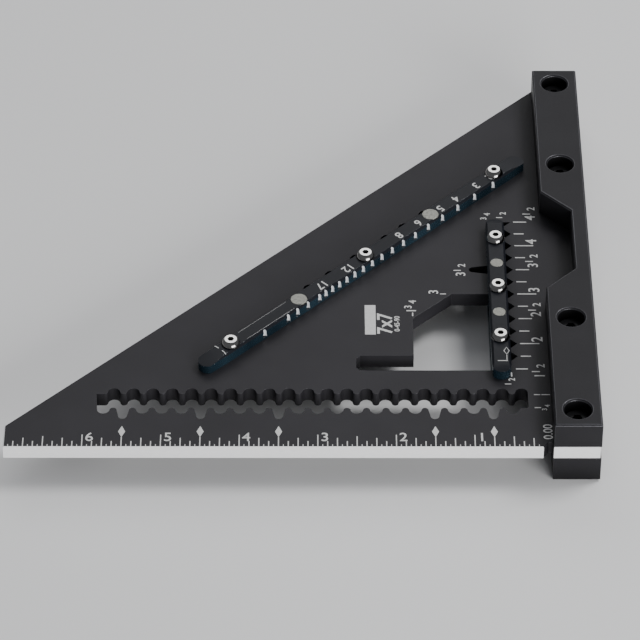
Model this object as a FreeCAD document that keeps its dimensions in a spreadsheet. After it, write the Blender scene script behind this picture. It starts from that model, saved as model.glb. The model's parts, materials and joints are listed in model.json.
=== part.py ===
import FreeCAD, Part
import math
import os
import re
import Sketcher

# Seven-inch rafter square in millimetres.  The design frame has its origin at the pivot corner, where
# the fence's working face (x = 0) meets the ruler edge (y = 0).  The ruler runs to -x, the fence to +y
# and z = 0 is the underside of the plate.  PIVOT then moves every piece into the part's own frame:
# origin at the centre of the bottom of the bounding box, +Z up.

DIMENSIONS = {
    # plate
    "graduation": 25.4,
    "ruler_length": 177.8,
    "fence_length": 187.96,
    "plate_thickness": 5.08,
    "plate_inset": 0.4,
    "plate_break": 0.3,
    "pivot_notch_width": 3.3,
    "pivot_notch_depth": 2.5,
    "rafter_notch_radius": 2.0,
    "rafter_notch_line": 158.0,
    # fence rails and what holds them
    "rail_depth": 15.5,
    "rail_height": 9.525,
    "rail_break": 0.5,
    "recess_length": 50.8,
    "recess_depth": 10.16,
    "fence_screw_offset": 7.62,
    "fence_screw_first": 7.87,
    "fence_screw_second": 53.34,
    "counterbore_radius": 4.5,
    "counterbore_depth": 7.5,
    "clearance_radius": 2.75,
    "tapped_radius": 2.55,
    "tapped_depth": 8.0,
    "fence_screw_radius": 2.5,
    "fence_screw_length": 14.5,
    "fence_head_radius": 4.25,
    "fence_head_height": 3.5,
    "fence_key_radius": 1.75,
    "fence_key_depth": 1.8,
    "dowel_radius": 2.0,
    "dowel_bore_radius": 2.02,
    "dowel_length": 14.0,
    "dowel_first": 30.5,
    "dowel_break": 0.4,
    # rafter and stud bars
    "bar_width": 6.35,
    "bar_height": 4.0,
    "bar_break": 0.75,
    "bar_bore_radius": 2.1,
    "rafter_bar_line": 151.26,
    "rafter_bar_middle": 60.0,
    "rafter_bar_length": 154.4,
    "rafter_screw_pitch": 63.5,
    "rafter_nose_length": 8.6,
    "rafter_nose_drop": 1.2,
    "rafter_tip": 2.95,
    "stud_bar_offset": 15.7,
    "stud_bar_middle": 72.3,
    "stud_bar_length": 79.0,
    "stud_screw_first": 49.8,
    "stud_screw_pitch": 25.4,
    "stud_nose_length": 3.8,
    "stud_nose_drop": 0.9,
    "stud_tip": 2.9,
    "flute_top_radius": 0.45,
    "flute_taper": 8.0,
    "flute_floor": 0.7,
    # magnets
    "rafter_magnet_radius": 2.85,
    "stud_magnet_radius": 2.2,
    "magnet_clearance": 0.05,
    "magnet_height": 2.4,
    "magnet_pocket_depth": 2.5,
    "magnet_break": 0.15,
    # button screws and barrel nuts
    "button_radius": 3.15,
    "button_height": 1.9,
    "button_rim": 0.35,
    "button_key_radius": 1.15,
    "button_key_depth": 1.1,
    "screw_radius": 1.5,
    "screw_length": 10.0,
    "barrel_radius": 2.0,
    "barrel_reach": 2.0,
    "barrel_bore_radius": 1.55,
    "barrel_bore_depth": 9.0,
}

PIVOT = ("(ruler_length - rail_depth) / 2", "-fence_length / 2", "rail_height")
HIP_RUN = 17
COMMON_RUN = 12
HIP_RISES = list(range(2, 19)) + [20, 22, 24, 30]
COMMON_RISES = list(range(2, 19)) + [20, 24]
PLATE_NOTCH_RISES = [4, 5, 6, 8, 10, 12]
DEEP_SCRIBE_MARKS = [0.75, 1.5, 3.5, 4.5, 5.5]

doc = FreeCAD.newDocument("rafter_square")
sheet = doc.addObject("Spreadsheet::Sheet", "Dims")
for row, (alias, number) in enumerate(DIMENSIONS.items(), start=1):
    sheet.set(f"A{row}", alias)
    sheet.set(f"B{row}", str(number))
    sheet.setAlias(f"B{row}", alias)
doc.recompute()

parts = []


def in_sheet(text):
    """Point each dimension's name in a formula at its cell."""
    def cell(match):
        word = match.group()
        return "Dims." + word if word in DIMENSIONS else word

    return re.sub(r"[a-z][a-z_]+", cell, text)


def value(text):
    return float(sheet.evalExpression(in_sheet(text)))


def bind(item, setting, text):
    item.setExpression(setting, in_sheet(text))


def place(item, x, y, z, turn=0.0, flipped=False):
    """Put a finished piece at x, y, z of the design frame, turned about Z, and upside down if flipped."""
    rotation = FreeCAD.Rotation(FreeCAD.Vector(0, 0, 1), turn)
    if flipped:
        rotation = rotation.multiply(FreeCAD.Rotation(FreeCAD.Vector(1, 0, 0), 180))
    item.Placement = FreeCAD.Placement(FreeCAD.Vector(), rotation)
    for axis, start, offset in zip("xyz", PIVOT, (x, y, z)):
        bind(item, "Placement.Base." + axis, f"{start} + ({offset})")
    parts.append(item)


def new_body(name):
    body = doc.addObject("PartDesign::Body", name)
    body.Label = name
    return body


def new_sketch(body, name, role="XY_Plane", offset="0"):
    sketch = body.newObject("Sketcher::SketchObject", f"{body.Name}_{name}")
    plane = next(item for item in body.Origin.OriginFeatures if item.Role == role)
    sketch.AttachmentSupport = (plane, [""])
    sketch.MapMode = "FlatFace"
    bind(sketch, "AttachmentOffset.Base.z", offset)
    return sketch


def bound_polygon(sketch, corners):
    """Closed outline whose corners are pairs of formulas in the words of the sheet."""
    points = [FreeCAD.Vector(value(x), value(y), 0) for x, y in corners]
    first = sketch.GeometryCount
    for index, point in enumerate(points):
        sketch.addGeometry(Part.LineSegment(point, points[(index + 1) % len(points)]), False)
    for index, (x, y) in enumerate(corners):
        following = first + (index + 1) % len(points)
        sketch.addConstraint(Sketcher.Constraint("Coincident", first + index, 2, following, 1))
        for kind, text in (("DistanceX", x), ("DistanceY", y)):
            number = sketch.addConstraint(Sketcher.Constraint(kind, first + index, 1, value(text)))
            bind(sketch, f"Constraints[{number}]", text)


def bound_circle(sketch, x, y, radius):
    centre = FreeCAD.Vector(value(x), value(y), 0)
    circle = sketch.addGeometry(Part.Circle(centre, FreeCAD.Vector(0, 0, 1), value(radius)), False)
    for kind, text in (("DistanceX", x), ("DistanceY", y)):
        number = sketch.addConstraint(Sketcher.Constraint(kind, circle, 3, value(text)))
        bind(sketch, f"Constraints[{number}]", text)
    number = sketch.addConstraint(Sketcher.Constraint("Radius", circle, value(radius)))
    bind(sketch, f"Constraints[{number}]", radius)


def traced_outline(sketch, start, steps):
    """Closed outline of plain points: a step of one point is a line, a step of two is an arc."""
    here = FreeCAD.Vector(start[0], start[1], 0)
    for step in steps:
        points = [FreeCAD.Vector(x, y, 0) for x, y in step]
        if len(points) == 1:
            sketch.addGeometry(Part.LineSegment(here, points[0]), False)
        else:
            sketch.addGeometry(Part.Arc(here, points[0], points[1]), False)
        here = points[-1]


def pad(body, sketch, length):
    feature = body.newObject("PartDesign::Pad", sketch.Name + "_pad")
    feature.Profile = sketch
    bind(feature, "Length", length)
    doc.recompute()
    return feature


def pocket(body, sketch, depth=None, taper=None, upwards=False):
    """Cut a sketch out of the body, right through if no depth is given, and prove that it removed metal."""
    before = body.Shape.Volume
    feature = body.newObject("PartDesign::Pocket", sketch.Name + "_cut")
    feature.Profile = sketch
    feature.Reversed = upwards
    if depth:
        bind(feature, "Length", depth)
    else:
        feature.Type = "ThroughAll"
    if taper:
        bind(feature, "TaperAngle", taper)
    doc.recompute()
    if not body.Shape.Volume < before - 1e-6:
        raise RuntimeError(f"{feature.Name} cuts nothing")
    return feature


def flat_edges(shape, heights):
    """Names of the edges that lie flat at one of the heights."""
    names = []
    for index, edge in enumerate(shape.Edges, start=1):
        box = edge.BoundBox
        if box.ZLength < 1e-5 and min(abs(box.ZMax - height) for height in heights) < 1e-5:
            names.append(f"Edge{index}")
    return names


def chamfer(body, heights, size):
    base = body.Tip
    feature = body.newObject("PartDesign::Chamfer", body.Name + "_break")
    feature.Base = (base, flat_edges(base.Shape, [value(height) for height in heights]))
    bind(feature, "Size", size)
    doc.recompute()
    return feature


def scribe_slot(sketch):
    """Slot beside the ruler: a hollow every quarter inch in both walls, deeper at the usual setbacks."""
    inch = value("graduation")
    half_pitch = 0.125
    tooth = 0.045
    plain = (0.081, -0.0158)
    deep = (0.055, 0.112)
    lower = (0.699, -1)
    upper = (1.053, 1)
    left_end = 5.85
    right_end = 0.2946
    corner = 0.03

    def at(wall, across, outwards):
        """A point so far outwards of the line through the centres of one wall's teeth."""
        line, side = wall
        return (-across * inch, (line + side * outwards) * inch)

    def along_wall(wall, centres, step):
        """From the first tooth's tip, hollow by hollow; a hollow is its radius and its centre's shift."""
        steps = []
        for centre in centres:
            is_deep = wall == lower and centre in DEEP_SCRIBE_MARKS
            radius, shift = deep if is_deep else plain
            closeness = (radius + tooth) / math.hypot(shift, half_pitch)
            turn = math.atan2(-shift, half_pitch) + math.acos(min(1.0, closeness))
            cosine = math.cos(turn)
            sine = math.sin(turn)
            middle = (half_pitch, -tooth)
            if centre == centres[0]:
                spread = math.hypot(cosine, 1 + sine)
                middle = (half_pitch - tooth * cosine / spread, -tooth * (1 + sine) / spread)
            root = (half_pitch - tooth * cosine, -tooth * sine)
            flank = (radius * cosine, shift + radius * sine)
            on_tooth = at(wall, centre - step * middle[0], middle[1])
            steps.append((on_tooth, at(wall, centre - step * root[0], root[1])))
            if is_deep:
                steps.append((at(wall, centre - step * flank[0], flank[1]),))
            steps.append((at(wall, centre, shift + radius), at(wall, centre + step * flank[0], flank[1])))
            if is_deep:
                steps.append((at(wall, centre + step * root[0], root[1]),))
        return steps

    start = at(lower, 0.375, -tooth)
    steps = along_wall(lower, [0.5 + 0.25 * number for number in range(22)], 1)
    steps.append((at(upper, left_end, -tooth),))
    steps.append((at(upper, 5.75, -tooth),))
    steps += along_wall(upper, [5.625 - 0.25 * number for number in range(22)], -1)
    inner = corner * (1 - math.sqrt(0.5))
    steps.append((at(lower, right_end, -tooth - corner),))
    steps.append((at(lower, right_end + inner, -tooth - inner), at(lower, right_end + corner, -tooth)))
    steps.append((start,))
    traced_outline(sketch, start, steps)


def layout_window(sketch):
    """Window of the plate, with its left arm, the stud slot above it and the quarter-inch V notches."""
    inch = value("graduation")
    wall = 0.52
    tip = 0.395

    def at(across, along):
        return (-across * inch, along * inch)

    left = [(0.52, 1.47), (2.45, 1.47), (2.5, 1.52), (2.5, 1.71), (2.45, 1.76), (1.75, 1.76), (1.75, 2.5),
            (1.23, 3.0), (0.7, 3.0), (0.7, 3.41), (0.95, 3.45)]
    steps = [(at(*corner),) for corner in left[1:]]
    steps.append((at(0.985, 3.5), at(0.95, 3.55)))
    steps += [(at(0.7, 3.59),), (at(0.7, 4.5),), (at(tip, 4.5),)]
    for number in range(12):
        mark = 4.5 - 0.25 * number
        if number:
            steps.append((at(tip, mark),))
        steps.append((at(wall, mark - 0.125),))
    steps.append((at(*left[0]),))
    traced_outline(sketch, at(*left[0]), steps)


def square_plate():
    body = new_body("square_plate")
    outline = new_sketch(body, "outline")
    bound_polygon(outline, [
        ("0", "pivot_notch_depth"),
        ("-pivot_notch_width / 2", "pivot_notch_depth"),
        ("-pivot_notch_width", "0"),
        ("-ruler_length", "0"),
        ("-ruler_length", "fence_length - ruler_length"),
        ("0", "fence_length"),
        ("rail_depth - plate_inset", "fence_length"),
        ("rail_depth - plate_inset", "0"),
        ("0", "0"),
    ])
    pad(body, outline, "plate_thickness")
    chamfer(body, ("0", "plate_thickness"), "plate_break")
    for name, draw in (("scribe_slot", scribe_slot), ("window", layout_window)):
        sketch = new_sketch(body, name, offset="plate_thickness")
        draw(sketch)
        pocket(body, sketch)
    holes = new_sketch(body, "holes", offset="plate_thickness")
    for rise in PLATE_NOTCH_RISES:
        across = f"-rafter_notch_line * {rise} / {COMMON_RUN + rise}"
        along = f"rafter_notch_line * {COMMON_RUN} / {COMMON_RUN + rise}"
        bound_circle(holes, across, along, "rafter_notch_radius")
    for x, y in rafter_screw_places():
        bound_circle(holes, x, y, "bar_bore_radius")
    for y in fence_screw_places():
        bound_circle(holes, "fence_screw_offset", y, "clearance_radius")
    for y in dowel_places():
        bound_circle(holes, "fence_screw_offset", y, "dowel_bore_radius")
    pocket(body, holes)
    place(body, "0", "0", "0")


def fence_screw_places():
    near = ["fence_screw_first", "fence_screw_second"]
    return near + [f"fence_length - {text}" for text in reversed(near)]


def dowel_places():
    return ["dowel_first", "fence_length - dowel_first"]


def rafter_screw_places():
    step = "rafter_screw_pitch * cos(45deg)"
    places = []
    for number in (-1, 0, 1):
        x = f"-rafter_bar_middle + {number} * {step}"
        y = f"rafter_bar_line - rafter_bar_middle + {number} * {step}"
        places.append((x, y))
    return places


def stud_screw_places():
    return [("-stud_bar_offset", f"stud_screw_first + {number} * stud_screw_pitch") for number in range(3)]


def fence_rail(name, counterbored, flipped):
    """One rail of the fence: a bar with a hand recess in its working face, laid on one face of the plate."""
    body = new_body(name)
    outline = new_sketch(body, "outline")
    middle = "fence_length / 2"
    bound_polygon(outline, [
        ("0", "0"),
        ("0", f"{middle} - recess_length / 2"),
        ("recess_depth", f"{middle} - recess_length / 2 + recess_depth"),
        ("recess_depth", f"{middle} + recess_length / 2 - recess_depth"),
        ("0", f"{middle} + recess_length / 2"),
        ("0", "fence_length"),
        ("rail_depth", "fence_length"),
        ("rail_depth", "0"),
    ])
    pad(body, outline, "rail_height")
    screw_holes = new_sketch(body, "screw_holes")
    for y in fence_screw_places():
        radius = "clearance_radius" if counterbored else "tapped_radius"
        bound_circle(screw_holes, "fence_screw_offset", y, radius)
    pocket(body, screw_holes, None if counterbored else "tapped_depth", upwards=True)
    if counterbored:
        counterbores = new_sketch(body, "counterbores", offset="rail_height")
        for y in fence_screw_places():
            bound_circle(counterbores, "fence_screw_offset", y, "counterbore_radius")
        pocket(body, counterbores, "counterbore_depth")
    dowel_holes = new_sketch(body, "dowel_holes")
    for y in dowel_places():
        bound_circle(dowel_holes, "fence_screw_offset", y, "dowel_bore_radius")
    pocket(body, dowel_holes, "(dowel_length - plate_thickness) / 2 + 0.2", upwards=True)
    chamfer(body, ("rail_height",), "rail_break")
    if flipped:
        place(body, "0", "fence_length", "0", flipped=True)
    else:
        place(body, "0", "0", "plate_thickness")


def fence_screw(name, y):
    """Low-head cap screw that clamps both rails on the plate."""
    body = new_body(name)
    profile = new_sketch(body, "profile", role="XZ_Plane")
    bound_polygon(profile, [
        ("0", "-fence_screw_length"),
        ("fence_screw_radius - 0.5", "-fence_screw_length"),
        ("fence_screw_radius", "0.5 - fence_screw_length"),
        ("fence_screw_radius", "0"),
        ("fence_head_radius", "0"),
        ("fence_head_radius", "fence_head_height - 0.4"),
        ("fence_head_radius - 0.4", "fence_head_height"),
        ("0", "fence_head_height"),
    ])
    revolve(body, profile)
    hex_socket(body, "fence_head_height", "fence_key_radius", "fence_key_depth")
    place(body, "fence_screw_offset", y, "plate_thickness + rail_height - counterbore_depth")


def revolve(body, profile):
    feature = body.newObject("PartDesign::Revolution", profile.Name + "_turned")
    feature.Profile = profile
    feature.ReferenceAxis = (profile, ["V_Axis"])
    feature.Angle = 360
    doc.recompute()
    return feature


def hex_socket(body, height, radius, depth):
    socket = new_sketch(body, "socket", offset=height)
    corners = []
    for number in range(6):
        corners.append((f"{radius} * cos({60 * number}deg)", f"{radius} * sin({60 * number}deg)"))
    bound_polygon(socket, corners)
    pocket(body, socket, depth)


def dowel_pin(name, y):
    blank = doc.addObject("Part::Cylinder", name + "_blank")
    bind(blank, "Radius", "dowel_radius")
    bind(blank, "Height", "dowel_length")
    doc.recompute()
    pin = doc.addObject("Part::Chamfer", name)
    pin.Label = name
    pin.Base = blank
    size = value("dowel_break")
    pin.Edges = [(number, size, size) for number in rim_edges(blank.Shape)]
    place(pin, "fence_screw_offset", y, "(plate_thickness - dowel_length) / 2")


def rim_edges(shape):
    return [index for index, edge in enumerate(shape.Edges, start=1) if edge.BoundBox.ZLength < 1e-5]


def bar_along(name, kind, screws, magnets, flutes, side):
    """Straight bar with a chamfered back, sloping noses, screw holes, magnet pockets and pencil flutes."""
    body = new_body(name)
    length = f"{kind}_bar_length"
    half = f"{length} / 2"
    section = new_sketch(body, "section", role="YZ_Plane", offset=f"-{half}")
    bound_polygon(section, [
        ("-bar_width / 2", "0"),
        ("bar_width / 2", "0"),
        ("bar_width / 2", "bar_height - bar_break"),
        ("bar_width / 2 - bar_break", "bar_height"),
        ("bar_break - bar_width / 2", "bar_height"),
        ("-bar_width / 2", "bar_height - bar_break"),
    ])
    pad(body, section, length)
    for end, sign in (("tail", "-"), ("head", "")):
        ramp = new_sketch(body, end + "_ramp", role="XZ_Plane", offset="-bar_width")
        bound_polygon(ramp, [
            (f"{sign}({half} - {kind}_nose_length)", "bar_height"),
            (f"{sign}({half} + 1)", f"bar_height - {kind}_nose_drop"),
            (f"{sign}({half} + 1)", "bar_height + 1"),
            (f"{sign}({half} - {kind}_nose_length)", "bar_height + 1"),
        ])
        pocket(body, ramp, upwards=True)
    trim = new_sketch(body, "trim", offset="bar_height")
    margin = "bar_width"
    bound_polygon(trim, [
        (f"-{half} - {margin}", f"-{margin}"),
        (f"{half} + {margin}", f"-{margin}"),
        (f"{half} + {margin}", margin),
        (f"-{half} - {margin}", margin),
    ])
    nosed_outline(trim, value(half), value(f"{kind}_nose_length"), value(f"{kind}_tip"))
    pocket(body, trim)
    holes = new_sketch(body, "screw_holes", offset="bar_height")
    for along in screws:
        bound_circle(holes, along, "0", "bar_bore_radius")
    pocket(body, holes)
    pockets = new_sketch(body, "magnet_pockets", offset="bar_height")
    for along in magnets:
        bound_circle(pockets, along, "0", f"{kind}_magnet_radius + magnet_clearance")
    pocket(body, pockets, "magnet_pocket_depth")
    if flutes:
        marks = new_sketch(body, "flutes", offset="bar_height")
        for along in flutes:
            bound_circle(marks, along, f"{side} * bar_width / 2", "flute_top_radius")
        pocket(body, marks, "bar_height - flute_floor", taper="flute_taper * 1deg")
    return body


def nosed_outline(sketch, half_length, nose, tip):
    """Outline of the bar seen from above: straight sides that draw in to a rounded tip at each end."""
    side = value("bar_width") / 2
    shoulder = half_length - nose
    blunt = half_length - tip * 0.6
    traced_outline(sketch, (shoulder, -side), [
        ((blunt, -tip),),
        ((half_length, 0), (blunt, tip)),
        ((shoulder, side),),
        ((-shoulder, side),),
        ((-blunt, tip),),
        ((-half_length, 0), (-blunt, -tip)),
        ((-shoulder, -side),),
        ((shoulder, -side),),
    ])


def flute_places(run, rises):
    """Where each rise's line from the pivot crosses the bar's pivot side, along the bar from its middle."""
    face = "(rafter_bar_line - bar_width * cos(45deg))"
    middle = "(rafter_bar_line - 2 * rafter_bar_middle)"
    places = []
    for rise in rises:
        places.append(f"({face} * {run - rise} / {run + rise} - {middle}) * cos(45deg)")
    return places


def rafter_bar(name, run, rises, flipped):
    screws = ["-rafter_screw_pitch", "0", "rafter_screw_pitch"]
    magnets = ["-rafter_screw_pitch / 2", "rafter_screw_pitch / 2"]
    side = 1 if flipped else -1
    body = bar_along(name, "rafter", screws, magnets, flute_places(run, rises), side)
    height = "0" if flipped else "plate_thickness"
    place(body, "-rafter_bar_middle", "rafter_bar_line - rafter_bar_middle", height, 45, flipped)


def stud_bar(name, flipped):
    start = "stud_screw_first - stud_bar_middle"
    screws = [f"{start} + {number} * stud_screw_pitch" for number in range(3)]
    magnets = [f"{start} + {number} / 2 * stud_screw_pitch" for number in (1, 3)]
    body = bar_along(name, "stud", screws, magnets, [], 1)
    height = "0" if flipped else "plate_thickness"
    place(body, "-stud_bar_offset", "stud_bar_middle", height, 90, flipped)


def rafter_magnet_places():
    places = []
    for number in (-0.5, 0.5):
        step = f"{number} * rafter_screw_pitch * cos(45deg)"
        places.append((f"{step} - rafter_bar_middle", f"{step} + rafter_bar_line - rafter_bar_middle"))
    return places


def stud_magnet_places():
    return [("-stud_bar_offset", f"stud_screw_first + {number} * stud_screw_pitch") for number in (0.5, 1.5)]


def magnet(name, radius, x, y, flipped):
    """Disc magnet flush with the bar's outer face."""
    blank = doc.addObject("Part::Cylinder", name + "_blank")
    bind(blank, "Radius", radius)
    bind(blank, "Height", "magnet_height")
    doc.recompute()
    disc = doc.addObject("Part::Fillet", name)
    disc.Label = name
    disc.Base = blank
    size = value("magnet_break")
    disc.Edges = [(number, size, size) for number in rim_edges(blank.Shape)]
    height = "magnet_height - bar_height" if flipped else "plate_thickness + bar_height - magnet_height"
    place(disc, x, y, height, flipped=flipped)


def button_head(name, shank_radius, shank_length):
    """Turned dome-head fastener: its head stands above z = 0 and its shank hangs below."""
    body = new_body(name)
    profile = new_sketch(body, "profile", role="XZ_Plane")
    radius = value("button_radius")
    rim = value("button_rim")
    height = value("button_height")
    shank = value(shank_radius)
    length = value(shank_length)
    crown = 0.64 * radius
    traced_outline(profile, (0, -length), [
        ((shank - 0.3, -length),),
        ((shank, 0.3 - length),),
        ((shank, 0),),
        ((radius, 0),),
        ((radius, rim),),
        ((0.86 * radius, 0.64 * height), (crown, height)),
        ((0, height),),
        ((0, -length),),
    ])
    revolve(body, profile)
    hex_socket(body, "button_height", "button_key_radius", "button_key_depth")
    return body


def bar_screw(name, x, y):
    body = button_head(name, "screw_radius", "screw_length")
    place(body, x, y, "plate_thickness + bar_height")


def barrel_nut(name, x, y):
    length = "(bar_height + plate_thickness + barrel_reach)"
    body = button_head(name, "barrel_radius", length)
    bore = new_sketch(body, "bore", offset=f"-{length}")
    bound_circle(bore, "0", "0", "barrel_bore_radius")
    pocket(body, bore, "barrel_bore_depth", upwards=True)
    place(body, x, y, "-bar_height", flipped=True)


def build():
    square_plate()
    fence_rail("fence_rail_front", counterbored=True, flipped=False)
    fence_rail("fence_rail_back", counterbored=False, flipped=True)
    for number, y in enumerate(fence_screw_places(), start=1):
        fence_screw(f"fence_screw_{number}", y)
    for number, y in enumerate(dowel_places(), start=1):
        dowel_pin(f"fence_dowel_{number}", y)
    rafter_bar("rafter_bar_front", HIP_RUN, HIP_RISES, flipped=False)
    rafter_bar("rafter_bar_back", COMMON_RUN, COMMON_RISES, flipped=True)
    stud_bar("stud_bar_front", flipped=False)
    stud_bar("stud_bar_back", flipped=True)
    for kind, places in (("rafter", rafter_screw_places()), ("stud", stud_screw_places())):
        for number, (x, y) in enumerate(places, start=1):
            bar_screw(f"{kind}_bar_screw_{number}", x, y)
            barrel_nut(f"{kind}_barrel_nut_{number}", x, y)
    for kind, places in (("rafter", rafter_magnet_places()), ("stud", stud_magnet_places())):
        for number, (x, y) in enumerate(places, start=1):
            radius = f"{kind}_magnet_radius"
            magnet(f"{kind}_magnet_front_{number}", radius, x, y, flipped=False)
            magnet(f"{kind}_magnet_back_{number}", radius, x, y, flipped=True)


def write_steps():
    doc.recompute()
    failed = [item.Name for item in doc.Objects if {"Invalid", "Error"} & set(item.State)]
    if failed:
        raise RuntimeError(f"these objects failed: {failed}")
    os.makedirs("parts", exist_ok=True)
    for item in parts:
        if item.Shape.isNull() or not item.Shape.isValid():
            raise RuntimeError(f"{item.Label} has no valid shape")
        item.Shape.exportStep(f"parts/{item.Label}.step")
        print(item.Label, "volume", round(item.Shape.Volume, 1))


build()
write_steps()
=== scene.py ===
import json
import math

import bmesh
import bpy
from mathutils import Matrix, Vector


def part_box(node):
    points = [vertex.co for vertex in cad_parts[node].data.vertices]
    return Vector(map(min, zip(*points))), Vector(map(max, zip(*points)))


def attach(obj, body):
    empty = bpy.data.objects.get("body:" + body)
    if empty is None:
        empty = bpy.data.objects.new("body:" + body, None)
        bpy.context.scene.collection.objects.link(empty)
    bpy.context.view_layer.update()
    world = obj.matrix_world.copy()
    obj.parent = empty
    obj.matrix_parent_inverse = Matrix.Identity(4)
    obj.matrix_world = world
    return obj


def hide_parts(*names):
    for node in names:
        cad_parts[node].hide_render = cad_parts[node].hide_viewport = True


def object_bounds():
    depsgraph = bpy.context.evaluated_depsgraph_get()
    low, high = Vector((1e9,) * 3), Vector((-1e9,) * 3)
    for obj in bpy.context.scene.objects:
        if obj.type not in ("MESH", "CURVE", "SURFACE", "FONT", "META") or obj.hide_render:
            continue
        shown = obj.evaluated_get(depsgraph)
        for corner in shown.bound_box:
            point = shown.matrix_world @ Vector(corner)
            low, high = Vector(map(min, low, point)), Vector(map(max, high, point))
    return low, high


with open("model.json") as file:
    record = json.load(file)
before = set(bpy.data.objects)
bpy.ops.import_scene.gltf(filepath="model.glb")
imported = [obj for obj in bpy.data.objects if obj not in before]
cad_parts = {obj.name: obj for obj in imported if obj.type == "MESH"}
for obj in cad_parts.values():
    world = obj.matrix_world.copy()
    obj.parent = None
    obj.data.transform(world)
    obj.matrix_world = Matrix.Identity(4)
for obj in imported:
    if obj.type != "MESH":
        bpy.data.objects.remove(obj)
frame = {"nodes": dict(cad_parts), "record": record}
cad_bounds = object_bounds()

INCH = 0.0254
BODY = "root"

plate_low, plate_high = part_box("square_plate")
rail_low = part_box("fence_rail_front")[0]
bar_low, bar_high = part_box("rafter_bar_front")
back_bar_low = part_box("rafter_bar_back")[0]
PIVOT = Vector((rail_low.x, plate_low.y, 0))
FACE = plate_high.z
BACK = plate_low.z
BAR_TOP = bar_high.z
BAR_BACK = back_bar_low.z

# directions of lettering: (right, up) of a reader in front of the mark
UPRIGHT = (Vector((1, 0, 0)), Vector((0, 1, 0)))
SIDEWAYS = (Vector((0, 1, 0)), Vector((-1, 0, 0)))
FROM_HYPOTENUSE = (Vector((-1, -1, 0)).normalized(), Vector((1, -1, 0)).normalized())
BEHIND_UPRIGHT = (Vector((-1, 0, 0)), Vector((0, 1, 0)))
BEHIND_SIDEWAYS = (Vector((0, 1, 0)), Vector((1, 0, 0)))
BEHIND_FROM_HYPOTENUSE = (Vector((1, 1, 0)).normalized(), Vector((1, -1, 0)).normalized())

MARK_THICKNESS = 0.00002
BAR_WIDTH = 0.25 * INCH

# a rounded copy: how its facets are joined, and how far its edges are softened
MERGE_DISTANCE = 2e-6
FLAT_ANGLE = math.radians(0.6)
SHARP_ANGLE = math.radians(32)
SOFT_EDGE = 0.00012
SOFT_RAIL_EDGE = 0.00015

# places in a rounded copy's list of materials
FACES, EDGES, SIDES, FLUTES = range(4)


def spot(across, along, height):
    """Point at inches left of the fence face and inches up from the ruler edge."""
    return Vector((PIVOT.x - across * INCH, PIVOT.y + along * INCH, height))


# ---------------------------------------------------------------- materials

def new_material(name):
    material = bpy.data.materials.new(name)
    material.use_nodes = True
    shader = material.node_tree.nodes["Principled BSDF"]
    return material, material.node_tree, shader


def add(tree, kind, **values):
    """New shader node: keyword names are its own settings, or its sockets if it has no such setting."""
    item = tree.nodes.new(kind)
    for name, setting in values.items():
        if hasattr(item, name):
            setattr(item, name, setting)
        else:
            item.inputs[name.replace("_", " ")].default_value = setting
    return item


def grain(tree, scale, detail=3.0, stretch=(1, 1, 1)):
    """Noise in object space, stretched along the axes given."""
    place = add(tree, "ShaderNodeTexCoord")
    mapping = add(tree, "ShaderNodeMapping", Scale=stretch)
    noise = add(tree, "ShaderNodeTexNoise", Scale=scale, Detail=detail)
    tree.links.new(place.outputs["Object"], mapping.inputs["Vector"])
    tree.links.new(mapping.outputs["Vector"], noise.inputs["Vector"])
    return noise.outputs["Fac"]


def spread(tree, source, low, high):
    """Map a 0.3 to 0.7 noise value to the range low to high."""
    item = add(tree, "ShaderNodeMapRange")
    tree.links.new(source, item.inputs["Value"])
    for name, number in (("From Min", 0.3), ("From Max", 0.7), ("To Min", low), ("To Max", high)):
        item.inputs[name].default_value = number
    return item.outputs["Result"]


def tinted(tree, source, first, second):
    item = add(tree, "ShaderNodeMix", data_type="RGBA")
    tree.links.new(source, item.inputs["Factor"])
    item.inputs["A"].default_value = (*first, 1)
    item.inputs["B"].default_value = (*second, 1)
    return item.outputs["Result"]


def bumped(tree, shader, source, distance, strength):
    item = add(tree, "ShaderNodeBump", Distance=distance, Strength=strength)
    tree.links.new(source, item.inputs["Height"])
    tree.links.new(item.outputs["Normal"], shader.inputs["Normal"])


def anodised(name, dark, light, roughness, metallic=0.0, shine=0.5):
    """Dyed anodised aluminium: a fine bead-blasted grain under slow changes of shade."""
    material, tree, shader = new_material(name)
    slow = spread(tree, grain(tree, 45, 4), 0.0, 1.0)
    fine = grain(tree, 2600, 2)
    tree.links.new(tinted(tree, slow, dark, light), shader.inputs["Base Color"])
    tree.links.new(spread(tree, fine, roughness - 0.06, roughness + 0.06), shader.inputs["Roughness"])
    bumped(tree, shader, fine, 0.00002, 0.35)
    shader.inputs["Metallic"].default_value = metallic
    shader.inputs["Specular IOR Level"].default_value = shine
    return material


def machined(name, dark, light, roughness, stretch, scale=500, metallic=1.0):
    """Bare metal with fine tool lines along one direction."""
    material, tree, shader = new_material(name)
    lines = grain(tree, scale, 5, stretch)
    tree.links.new(tinted(tree, spread(tree, lines, 0.0, 1.0), dark, light), shader.inputs["Base Color"])
    tree.links.new(spread(tree, lines, roughness + 0.05, roughness - 0.05), shader.inputs["Roughness"])
    bumped(tree, shader, lines, 0.00003, 0.3)
    shader.inputs["Metallic"].default_value = metallic
    return material


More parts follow.
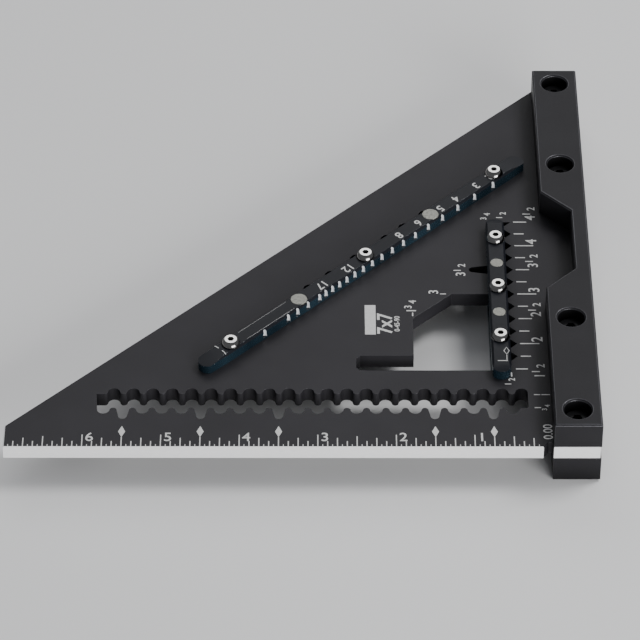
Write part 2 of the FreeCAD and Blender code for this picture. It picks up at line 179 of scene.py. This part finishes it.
def faced(material, tone):
    """Painted highlight: lighter base colour on the flats square to the piece's axis, standing in for their
    reflection of the lamps.
    """
    tree = material.node_tree
    shader = tree.nodes["Principled BSDF"]
    blasted = shader.inputs["Base Color"].links[0].from_socket
    place = add(tree, "ShaderNodeTexCoord")
    parts = add(tree, "ShaderNodeSeparateXYZ")
    tree.links.new(place.outputs["Normal"], parts.inputs["Vector"])
    upright = add(tree, "ShaderNodeMath", operation="ABSOLUTE")
    tree.links.new(parts.outputs["Z"], upright.inputs[0])
    edge = add(tree, "ShaderNodeMapRange")
    tree.links.new(upright.outputs["Value"], edge.inputs["Value"])
    edge.inputs["From Min"].default_value = 0.93
    edge.inputs["From Max"].default_value = 0.99
    item = add(tree, "ShaderNodeMix", data_type="RGBA")
    tree.links.new(edge.outputs["Result"], item.inputs["Factor"])
    tree.links.new(blasted, item.inputs["A"])
    item.inputs["B"].default_value = (*tone, 1)
    tree.links.new(item.outputs["Result"], shader.inputs["Base Color"])


def shade_hollows(material, reach, power):
    """Painted shade: darken the base colour in sockets, bores and inner corners by ambient occlusion."""
    tree = material.node_tree
    shader = tree.nodes["Principled BSDF"]
    tone = shader.inputs["Base Color"].links[0].from_socket
    hollow = add(tree, "ShaderNodeAmbientOcclusion", Distance=reach)
    steep = add(tree, "ShaderNodeMath", operation="POWER")
    tree.links.new(hollow.outputs["AO"], steep.inputs[0])
    steep.inputs[1].default_value = power
    item = add(tree, "ShaderNodeMix", data_type="RGBA", blend_type="MULTIPLY")
    item.inputs["Factor"].default_value = 1.0
    tree.links.new(tone, item.inputs["A"])
    tree.links.new(steep.outputs["Value"], item.inputs["B"])
    tree.links.new(item.outputs["Result"], shader.inputs["Base Color"])


def etched(name):
    """Laser-bleached marking: off-white, matt, faintly mottled."""
    material, tree, shader = new_material(name)
    speckle = grain(tree, 3500, 3)
    tone = tinted(tree, spread(tree, speckle, 0.0, 1.0), (0.52, 0.52, 0.51), (0.72, 0.72, 0.71))
    tree.links.new(tone, shader.inputs["Base Color"])
    tree.links.new(spread(tree, speckle, 0.5, 0.7), shader.inputs["Roughness"])
    return material


# The lighter edge finishes of plate, rails and bars go on the bevel faces: partly wear, partly painted
# highlight along the edges.
PLATE_BLACK = anodised("plate_black", (0.021, 0.020, 0.023), (0.026, 0.025, 0.029), 0.48, shine=0.2)
PLATE_EDGE_WEAR_AND_HIGHLIGHT = anodised("plate_edge_wear_and_highlight", (0.06, 0.06, 0.065), (0.10, 0.10, 0.11), 0.30, metallic=0.6)
RAIL_BLACK = anodised("rail_black", (0.013, 0.0125, 0.0145), (0.017, 0.0165, 0.019), 0.48, shine=0.2)
RAIL_EDGE_WEAR_AND_HIGHLIGHT = anodised("rail_edge_wear_and_highlight", (0.05, 0.05, 0.055), (0.08, 0.08, 0.09), 0.30, metallic=0.5)
BAR_BLACK = anodised("bar_black", (0.006, 0.007, 0.010), (0.010, 0.011, 0.015), 0.34, shine=0.16)
# bar sides: bluish base colour, a painted sheen
BAR_SIDE_PAINTED_SHEEN = anodised("bar_side_painted_sheen", (0.014, 0.032, 0.048), (0.050, 0.105, 0.150), 0.24, metallic=0.7)
BAR_EDGE_WEAR_AND_HIGHLIGHT = anodised("bar_edge_wear_and_highlight", (0.14, 0.145, 0.155), (0.24, 0.245, 0.26), 0.24, metallic=0.8)
BARE_EDGE = machined("bare_edge", (0.90, 0.90, 0.90), (0.98, 0.98, 0.98), 0.42, (1, 12, 12), metallic=0.25)
BARE_FLUTE = machined("bare_flute", (0.88, 0.90, 0.93), (0.96, 0.98, 1.0), 0.35, (8, 8, 1), 900,
                      metallic=0.2)
# screw steel kept dark in base colour, a painted dark reflection on the domed sides; the flats get a painted
# highlight below
STAINLESS = machined("stainless", (0.20, 0.195, 0.19), (0.30, 0.295, 0.285), 0.12, (1, 1, 9), 900)
BLACK_OXIDE = anodised("black_oxide", (0.004, 0.004, 0.005), (0.008, 0.008, 0.009), 0.35, metallic=0.3)
GROUND_STEEL = machined("ground_steel", (0.45, 0.45, 0.46), (0.62, 0.62, 0.63), 0.25, (1, 1, 8), 900)
NICKEL = machined("nickel", (0.17, 0.17, 0.155), (0.26, 0.26, 0.235), 0.30, (1, 1, 1), 1400)
ETCHED = etched("etched")
# painted highlight on the screws' flats
faced(STAINLESS, (0.80, 0.79, 0.77))
# painted shade in the hollows of the screws and rails, and painted shade and contact shadow on the plate
shade_hollows(STAINLESS, 0.0011, 2.5)
shade_hollows(RAIL_BLACK, 0.009, 1.6)
shade_hollows(PLATE_BLACK, 0.006, 1.0)


# ---------------------------------------------------------------- machined pieces

def rounded_copy(node, name, width, materials, pick=None):
    """Copy of a CAD node with softened edges.

    The materials are for FACES, EDGES and so on, and pick gives the place in that list for a face.
    """
    source = frame["nodes"][node].data
    mesh = source.copy()
    mesh.materials.clear()
    for material in materials:
        mesh.materials.append(material)
    shape = bmesh.new()
    shape.from_mesh(mesh)
    bmesh.ops.remove_doubles(shape, verts=shape.verts, dist=MERGE_DISTANCE)
    bmesh.ops.dissolve_limit(shape, angle_limit=FLAT_ANGLE, verts=shape.verts, edges=shape.edges)
    for face in shape.faces:
        face.material_index = FACES
        face.smooth = True
    for edge in shape.edges:
        edge.smooth = not (edge.is_manifold and edge.calc_face_angle(0) > SHARP_ANGLE)
    shape.to_mesh(mesh)
    shape.free()
    piece = bpy.data.objects.new(name, mesh)
    bpy.context.scene.collection.objects.link(piece)
    bevel = piece.modifiers.new("soft_edges", "BEVEL")
    bevel.width = width
    bevel.segments = 2
    bevel.limit_method = "ANGLE"
    bevel.angle_limit = SHARP_ANGLE
    bevel.use_clamp_overlap = True
    # bevel faces take the lighter edge finish: partly wear, partly painted highlight
    bevel.material = EDGES
    bevel.harden_normals = True
    flatten = piece.modifiers.new("flat_faces", "WEIGHTED_NORMAL")
    flatten.weight = 100
    flatten.keep_sharp = True
    bpy.context.view_layer.update()
    evaluated = piece.evaluated_get(bpy.context.evaluated_depsgraph_get())
    piece.data = bpy.data.meshes.new_from_object(evaluated)
    piece.modifiers.clear()
    piece.data.name = name
    if pick:
        for face in piece.data.polygons:
            face.material_index = pick(face)
    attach(piece, BODY)
    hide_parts(node)
    return piece


def on_outer_edge(face):
    """The plate's outer sides are machined bare, with their small chamfers; other faces stay as they are."""
    centre = face.center
    reach = 0.0004
    hypotenuse = PIVOT.x - centre.x + centre.y - plate_high.y
    outside = (centre.y < plate_low.y + reach or centre.x < plate_low.x + reach
               or centre.x > plate_high.x - reach or centre.y > plate_high.y - reach
               or hypotenuse > -reach * math.sqrt(2))
    return SIDES if outside and abs(face.normal.z) < 0.9 else face.material_index


def plate():
    finishes = (PLATE_BLACK, PLATE_EDGE_WEAR_AND_HIGHLIGHT, BARE_EDGE)
    rounded_copy("square_plate", "plate", SOFT_EDGE, finishes, on_outer_edge)


def rails():
    for side in ("front", "back"):
        rounded_copy(f"fence_rail_{side}", f"rail_{side}", SOFT_RAIL_EDGE, (RAIL_BLACK, RAIL_EDGE_WEAR_AND_HIGHLIGHT))


def on_bar_side(face):
    """Steep faces of a bar take the painted blue-black sheen of its long sides: a bluish base colour
    standing in for their reflection.
    """
    steep = abs(face.normal.z) < 0.5
    return SIDES if steep and face.material_index == FACES else face.material_index


def on_rafter_bar(face):
    """As on_bar_side, but the pencil flutes in the side towards the pivot are bare."""
    along = Vector((1, 1, 0)).normalized()
    across = Vector((-1, 1, 0)).normalized()
    offset = face.center - (bar_low + bar_high) / 2
    half_length = (bar_high.x - bar_low.x) / math.sqrt(2) - 0.010
    depth = BAR_WIDTH / 2 + offset.dot(across)
    if 0.00003 < depth < 0.0013 and abs(offset.dot(along)) < half_length and abs(face.normal.z) < 0.4:
        return FLUTES
    return on_bar_side(face)


def bars():
    for side in ("front", "back"):
        rounded_copy(f"rafter_bar_{side}", f"rafter_bar_{side}_machined", SOFT_EDGE,
                     (BAR_BLACK, BAR_EDGE_WEAR_AND_HIGHLIGHT, BAR_SIDE_PAINTED_SHEEN, BARE_FLUTE), on_rafter_bar)
        rounded_copy(f"stud_bar_{side}", f"stud_bar_{side}_machined", SOFT_EDGE,
                     (BAR_BLACK, BAR_EDGE_WEAR_AND_HIGHLIGHT, BAR_SIDE_PAINTED_SHEEN), on_bar_side)


def dress_fasteners():
    finishes = {"steel_screw": STAINLESS, "black_screw": BLACK_OXIDE, "dowel": GROUND_STEEL,
                "magnet": NICKEL}
    for row in frame["record"]["subparts"]:
        if row["material_slot"] in finishes:
            mesh = frame["nodes"][row["node"]].data
            mesh.materials.clear()
            mesh.materials.append(finishes[row["material_slot"]])


# ---------------------------------------------------------------- marks

class Marks:
    """One group of marks on one face: thin closed bars, outlines and digits, joined in one piece."""

    def __init__(self, name, height):
        self.name = name
        self.shape = bmesh.new()
        self.low = height - MARK_THICKNESS / 2
        self.high = height + MARK_THICKNESS / 2

    def slab(self, corners):
        """Thin closed slab over a polygon of points in the mark's plane."""
        lower = [self.shape.verts.new((point.x, point.y, self.low)) for point in corners]
        upper = [self.shape.verts.new((point.x, point.y, self.high)) for point in corners]
        self.shape.faces.new(list(reversed(lower)))
        self.shape.faces.new(upper)
        count = len(corners)
        for index in range(count):
            following = (index + 1) % count
            self.shape.faces.new((lower[index], lower[following], upper[following], upper[index]))

    def line(self, start, end, width):
        along = (end - start).normalized()
        side = Vector((-along.y, along.x, 0)) * width / 2
        self.slab([start - side, end - side, end + side, start + side])

    def outline(self, points, width):
        """Closed line along a polygon: one slab a side, mitred so that neighbours don't overlap."""
        middle = sum(points, Vector()) / len(points)
        outer = [point + (point - middle).normalized() * width * 0.6 for point in points]
        inner = [point - (point - middle).normalized() * width * 0.6 for point in points]
        for index in range(len(points)):
            following = (index + 1) % len(points)
            self.slab([outer[index], outer[following], inner[following], inner[index]])

    def text(self, words, centre, facing, size, boldness=0.00004):
        """Digits centred on a point; size is the height of a digit."""
        curve = bpy.data.curves.new("words", "FONT")
        curve.body = words
        curve.size = size / 0.72
        curve.align_x = "CENTER"
        curve.align_y = "CENTER"
        curve.extrude = MARK_THICKNESS / 2
        curve.offset = boldness
        holder = bpy.data.objects.new("words", curve)
        bpy.context.scene.collection.objects.link(holder)
        bpy.context.view_layer.update()
        mesh = bpy.data.meshes.new_from_object(holder.evaluated_get(bpy.context.evaluated_depsgraph_get()))
        right, up = facing
        normal = right.cross(up)
        turn = Matrix((right, up, normal)).transposed().to_4x4()
        mesh.transform(Matrix.Translation(Vector((centre.x, centre.y, (self.low + self.high) / 2))) @ turn)
        self.shape.from_mesh(mesh)
        bpy.data.objects.remove(holder)
        bpy.data.curves.remove(curve)
        bpy.data.meshes.remove(mesh)

    def fraction(self, whole, top, bottom, centre, facing, size):
        """Number with a fraction: a tall digit, then a raised numerator and a lowered denominator."""
        right, up = facing
        small = size * 0.77
        start = -0.70 if whole else -0.98
        if whole:
            self.text(whole, centre + right * size * start, facing, size)
        self.text(top, centre + right * size * (start + 0.58) + up * size * 0.34, facing, small)
        self.text(bottom, centre + right * size * (start + 1.38) - up * size * 0.12, facing, small)

    def finish(self):
        bmesh.ops.remove_doubles(self.shape, verts=self.shape.verts, dist=1e-8)
        bmesh.ops.recalc_face_normals(self.shape, faces=self.shape.faces)
        mesh = bpy.data.meshes.new(self.name)
        self.shape.to_mesh(mesh)
        self.shape.free()
        mesh.materials.append(ETCHED)
        piece = bpy.data.objects.new(self.name, mesh)
        bpy.context.scene.collection.objects.link(piece)
        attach(piece, BODY)
        return piece


SIXTEENTH_HEIGHTS = ((16, 0.23), (8, 0.20), (4, 0.17), (2, 0.11), (1, 0.05))
SETBACKS = (0.75, 1.5, 3.5, 4.5, 5.5)


def ruler_scale(name, height, facing):
    """Inch scale along the ruler edge, with filled diamonds at the deep scribe notches."""
    marks = Marks(name, height)
    for number in range(3, 112):
        tall = next(length for step, length in SIXTEENTH_HEIGHTS if number % step == 0)
        across = number / 16
        if across in SETBACKS:
            tall = 0.186
        width = 0.00036 if tall > 0.1 else 0.00026
        marks.line(spot(across, 0.012, height), spot(across, tall, height), width)
    beside = 0.09 * facing[0].x
    for inch in range(1, 7):
        marks.text(str(inch), spot(inch - beside, 0.18, height), facing, 0.16 * INCH)
    for across in SETBACKS:
        marks.slab([spot(across, 0.186, height), spot(across - 0.045, 0.29, height),
                    spot(across, 0.395, height), spot(across + 0.045, 0.29, height)])
    marks.finish()


def fence_scale(name, height, facing):
    """Quarter-inch scale between the V notches and the fence, lettered to be read along the fence."""
    marks = Marks(name, height)
    width = 0.00045
    for number in range(6, 19):
        along = number / 4
        far = 0.105 if number % 4 == 0 else 0.18 if number % 2 == 0 else 0.225
        near = 0.3575
        if number == 6:
            near, far = 0.43, 0.275
        marks.line(spot(near, along, height), spot(far, along, height), width)
        if number % 4 == 0:
            marks.text(str(number // 4), spot(0.125, along + 0.085, height), facing, 0.15 * INCH)
        elif number % 2 == 0:
            shift = -0.035 if number == 6 else 0.188
            centre = spot(0.12, along + shift, height)
            marks.fraction(str(number // 4), "1", "2", centre, facing, 0.14 * INCH)
    for along, words in ((1.0, "1"), (0.75, None)):
        marks.line(spot(0.217, along, height), spot(0.135, along, height), width)
        if words:
            marks.text(words, spot(0.06, along, height), facing, 0.11 * INCH)
        else:
            marks.fraction("", "3", "4", spot(0.06, along, height), facing, 0.085 * INCH)
    marks.finish()


def window_labels(name, height, facing):
    """Figures beside the window's steps."""
    marks = Marks(name, height)
    width = 0.0004
    size = 0.13 * INCH
    marks.line(spot(1.75, 2.55, height), spot(1.75, 2.62, height), width)
    marks.fraction("1", "3", "4", spot(1.76, 2.75, height), facing, size)
    marks.line(spot(1.38, 3.0, height), spot(1.30, 3.0, height), width)
    marks.text("3", spot(1.46, 3.04, height), facing, size)
    marks.fraction("3", "1", "2", spot(1.09, 3.5, height), facing, size)
    marks.line(spot(0.49, 1.35, height), spot(0.49, 1.43, height), width)
    marks.fraction("", "1", "2", spot(0.50, 1.25, height), facing, 0.11 * INCH)
    marks.fraction("", "3", "4", spot(0.715, 4.62, height), facing, 0.11 * INCH)
    marks.fraction("", "1", "2", spot(0.50, 4.64, height), facing, 0.11 * INCH)
    marks.text("0.00", spot(0.06, 0.29, height), facing, 0.12 * INCH)
    marks.finish()


def size_mark(name, height, facing):
    """Plain nominal-size mark on the field of the plate: a solid bar, the size and the two fixed angles."""
    marks = Marks(name, height)
    marks.slab([spot(2.38, 2.18, height), spot(2.238, 2.18, height), spot(2.238, 2.77, height),
                spot(2.38, 2.77, height)])
    marks.text("7x7", spot(2.11, 2.395, height), facing, 0.2 * INCH, 0.00012)
    marks.text("0-45-90", spot(1.955, 2.395, height), facing, 0.07 * INCH)
    marks.finish()


# inches along the bar, and the rise there: these suit the front bar's run, and the back bar, whose run
# is shorter, repeats them, so on the back they don't stand beside their own flutes
RAFTER_LABELS = ((0.53, "12"), (1.50, "8"), (1.87, "6"), (2.30, "5"), (2.60, "4"), (3.0, "3"), (3.27, "2"))


def rafter_marks(name, height, facing, run, labels):
    """Rise figures, the bar's run, border lines and the two arcs at the nose, the arcs a painted highlight
    of the curved edge where the nose's ramp starts.
    """
    marks = Marks(name, height)
    size = 0.125 * INCH

    def on_bar(along, line):
        return spot((line - along * math.sqrt(2)) / 2, (line + along * math.sqrt(2)) / 2, height)

    for along, words in labels:
        marks.text(words, on_bar(along, 5.945), facing, size)
    marks.text(run, on_bar(0.04, 5.945), facing, size)
    for line in (5.83, 6.07):
        marks.line(on_bar(-1.42, line), on_bar(-0.55, line), 0.00005)
    # painted highlight: two bright arcs for the light caught where the nose's ramp starts
    painted_highlight_arcs = (((-1.818, 6.105), (-1.812, 6.05), (-1.810, 6.01)),
            ((-1.810, 5.925), (-1.815, 5.85), (-1.83, 5.795)))
    for highlight_arc in painted_highlight_arcs:
        for start, end in zip(highlight_arc, highlight_arc[1:]):
            marks.line(on_bar(*start), on_bar(*end), 0.0003)
    marks.finish()


def stud_mark(name, height):
    """Diamond on a stem over a short base line, at the near end of the stud bar."""
    marks = Marks(name, height)
    diamond = [spot(0.55, 1.61, height), spot(0.515, 1.68, height), spot(0.55, 1.75, height),
               spot(0.585, 1.68, height)]
    marks.outline(diamond, 0.0002)
    marks.line(spot(0.55, 1.60, height), spot(0.55, 1.50, height), 0.0002)
    marks.line(spot(0.54, 1.485, height), spot(0.67, 1.485, height), 0.0003)
    marks.finish()


def all_marks():
    lift = MARK_THICKNESS / 2
    behind = (BEHIND_UPRIGHT, BEHIND_SIDEWAYS, BEHIND_FROM_HYPOTENUSE)
    for side, height, bar_height, readers in (
            ("front", FACE + lift, BAR_TOP + lift, (UPRIGHT, SIDEWAYS, FROM_HYPOTENUSE)),
            ("back", BACK - lift, BAR_BACK - lift, behind)):
        upright, sideways, from_hypotenuse = readers
        ruler_scale(f"ruler_scale_{side}", height, upright)
        fence_scale(f"fence_scale_{side}", height, sideways)
        window_labels(f"window_labels_{side}", height, sideways)
        run = "17" if side == "front" else "12"
        rafter_marks(f"rafter_marks_{side}", bar_height, from_hypotenuse, run, RAFTER_LABELS)
        stud_mark(f"stud_mark_{side}", bar_height)
    size_mark("size_mark", FACE + lift, SIDEWAYS)


# ---------------------------------------------------------------- stage

def floor():
    material, tree, shader = new_material("studio_floor")
    tone = tinted(tree, grain(tree, 3, 2), (0.74, 0.74, 0.74), (0.80, 0.80, 0.80))
    tree.links.new(tone, shader.inputs["Base Color"])
    shader.inputs["Roughness"].default_value = 0.7
    bpy.ops.mesh.primitive_plane_add(size=8)
    ground = bpy.context.object
    ground.name = "floor"
    ground.location.z = cad_bounds[0].z - 0.0002
    ground.data.materials.append(material)


def softbox(name, location, size, power, target):
    light = bpy.data.lights.new(name, "AREA")
    light.shape = "RECTANGLE"
    light.size, light.size_y = size
    light.energy = power
    holder = bpy.data.objects.new(name, light)
    bpy.context.scene.collection.objects.link(holder)
    holder.location = location
    holder.rotation_mode = "QUATERNION"
    holder.rotation_quaternion = (target - Vector(location)).to_track_quat("-Z", "Y")


def lights():
    world = bpy.data.worlds.new("studio")
    bpy.context.scene.world = world
    world.use_nodes = True
    world.node_tree.nodes["Background"].inputs["Color"].default_value = (0.93, 0.95, 1.0, 1)
    world.node_tree.nodes["Background"].inputs["Strength"].default_value = 0.28
    middle = Vector((0, 0, 0.013))
    softbox("back_softbox", (0.0, 1.3, 1.1), (2.0, 0.8), 8, middle)
    softbox("key_softbox", (0.9, 0.35, 1.4), (0.6, 0.6), 15, middle)
    softbox("front_softbox", (0.7, -1.2, 0.40), (1.0, 0.45), 20, middle)


def camera():
    """The view across the ruler edge, a long lens some 41 degrees above the plate."""
    data = bpy.data.cameras.new("camera")
    data.sensor_width = 36
    data.lens = 231.83
    data.clip_start = 0.1
    data.clip_end = 50
    holder = bpy.data.objects.new("camera", data)
    bpy.context.scene.collection.objects.link(holder)
    target = spot(2.9695, 2.4693, FACE)
    elevation = math.radians(40.7385)
    azimuth = math.radians(0.169)
    distance = 54.169 * INCH
    back = Vector((-math.sin(azimuth) * math.cos(elevation), -math.cos(azimuth) * math.cos(elevation),
                   math.sin(elevation)))
    holder.location = target + back * distance
    holder.rotation_mode = "QUATERNION"
    roll = Matrix.Rotation(math.radians(0.151), 3, "Z").to_quaternion()
    holder.rotation_quaternion = (-back).to_track_quat("-Z", "Y") @ roll
    bpy.context.scene.camera = holder


plate()
rails()
bars()
dress_fasteners()
all_marks()
floor()
lights()
camera()
